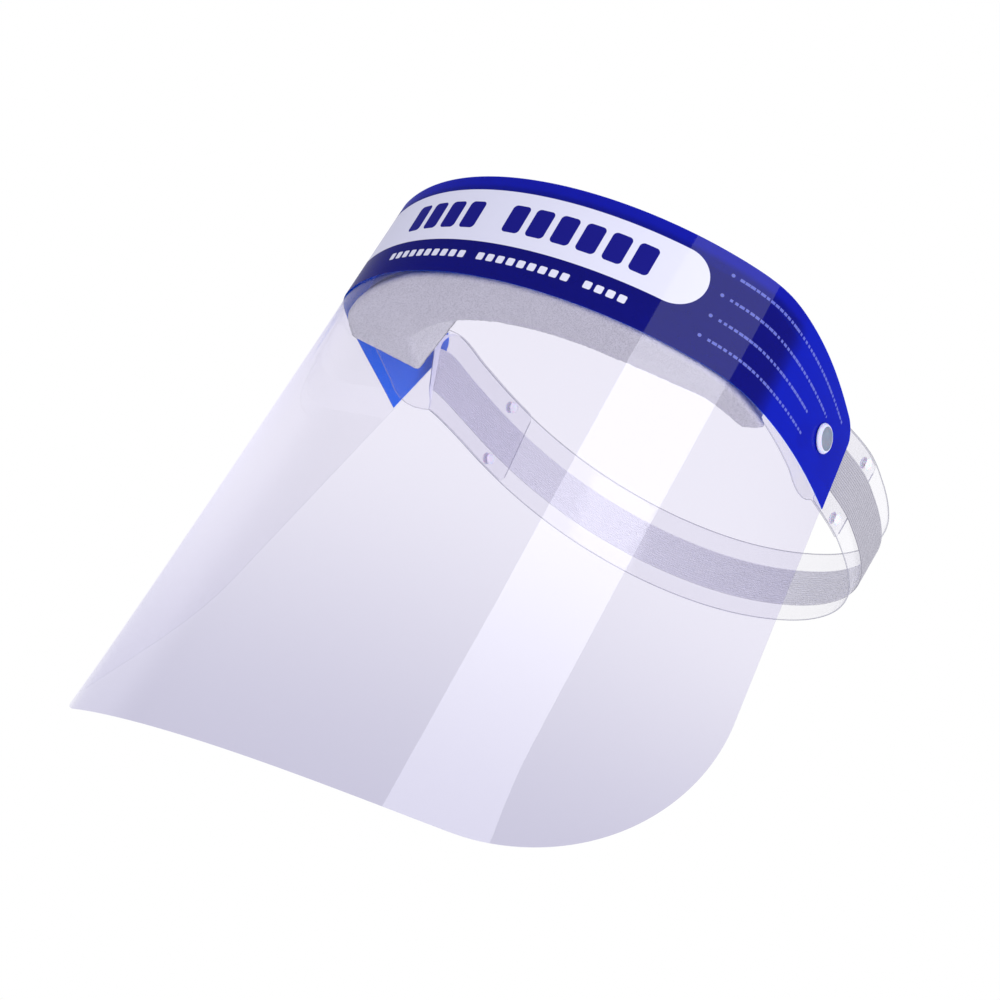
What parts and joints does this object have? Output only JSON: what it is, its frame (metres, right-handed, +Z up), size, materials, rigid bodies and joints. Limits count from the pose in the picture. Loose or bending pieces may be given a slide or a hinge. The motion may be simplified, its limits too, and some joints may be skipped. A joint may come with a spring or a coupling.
{
  "type": "face shield",
  "caption": "Clear wrap-round splash visor with a blue printed top strip, foam brow pad and clear elastic headband, tilting up on side snaps.",
  "frame": {"origin": "middle of the head opening inside the headband, level with the two snaps that the visor tilts on", "axes": "+Z up along the worn head, -Y the way the wearer faces, +X to the wearer's left"},
  "size_m": [0.2282, 0.2473, 0.2317],
  "materials": {
    "clear_sheet": "clear glossy sheet with a faint violet cast",
    "blue_film": "glossy navy print",
    "clear_strap": "clear soft strip",
    "grey_elastic": "woven elastic tape",
    "grey_foam": "open-cell foam",
    "white_tape": "foam tape",
    "snap_plastic": "translucent white moulded plastic",
    "stud_plastic": "clear moulded plastic"
  },
  "bodies": {
    "headband": {"front_band": "clear_strap", "rear_band": "clear_strap", "elastic_strip": "grey_elastic", "foam_pad": "grey_foam", "foam_tape": "white_tape", "snap_stud_left": "snap_plastic", "snap_back_cap_left": "snap_plastic", "band_stud_left_upper": "stud_plastic", "band_stud_left_lower": "stud_plastic", "snap_stud_right": "snap_plastic", "snap_back_cap_right": "snap_plastic", "band_stud_right_upper": "stud_plastic", "band_stud_right_lower": "stud_plastic"},
    "visor": {"visor_sheet": "clear_sheet", "printed_band": "blue_film", "snap_cap_left": "snap_plastic", "snap_cap_right": "snap_plastic", "snap_socket_left": "snap_plastic", "snap_socket_right": "snap_plastic"}
  },
  "joints": [
    {"name": "visor_tilt", "type": "hinge", "parent": "headband", "child": "visor", "pos_m": [0, -0.03993, -0.00002], "axis": [-1, 0, 0], "range_deg": [0, 75]}
  ]
}
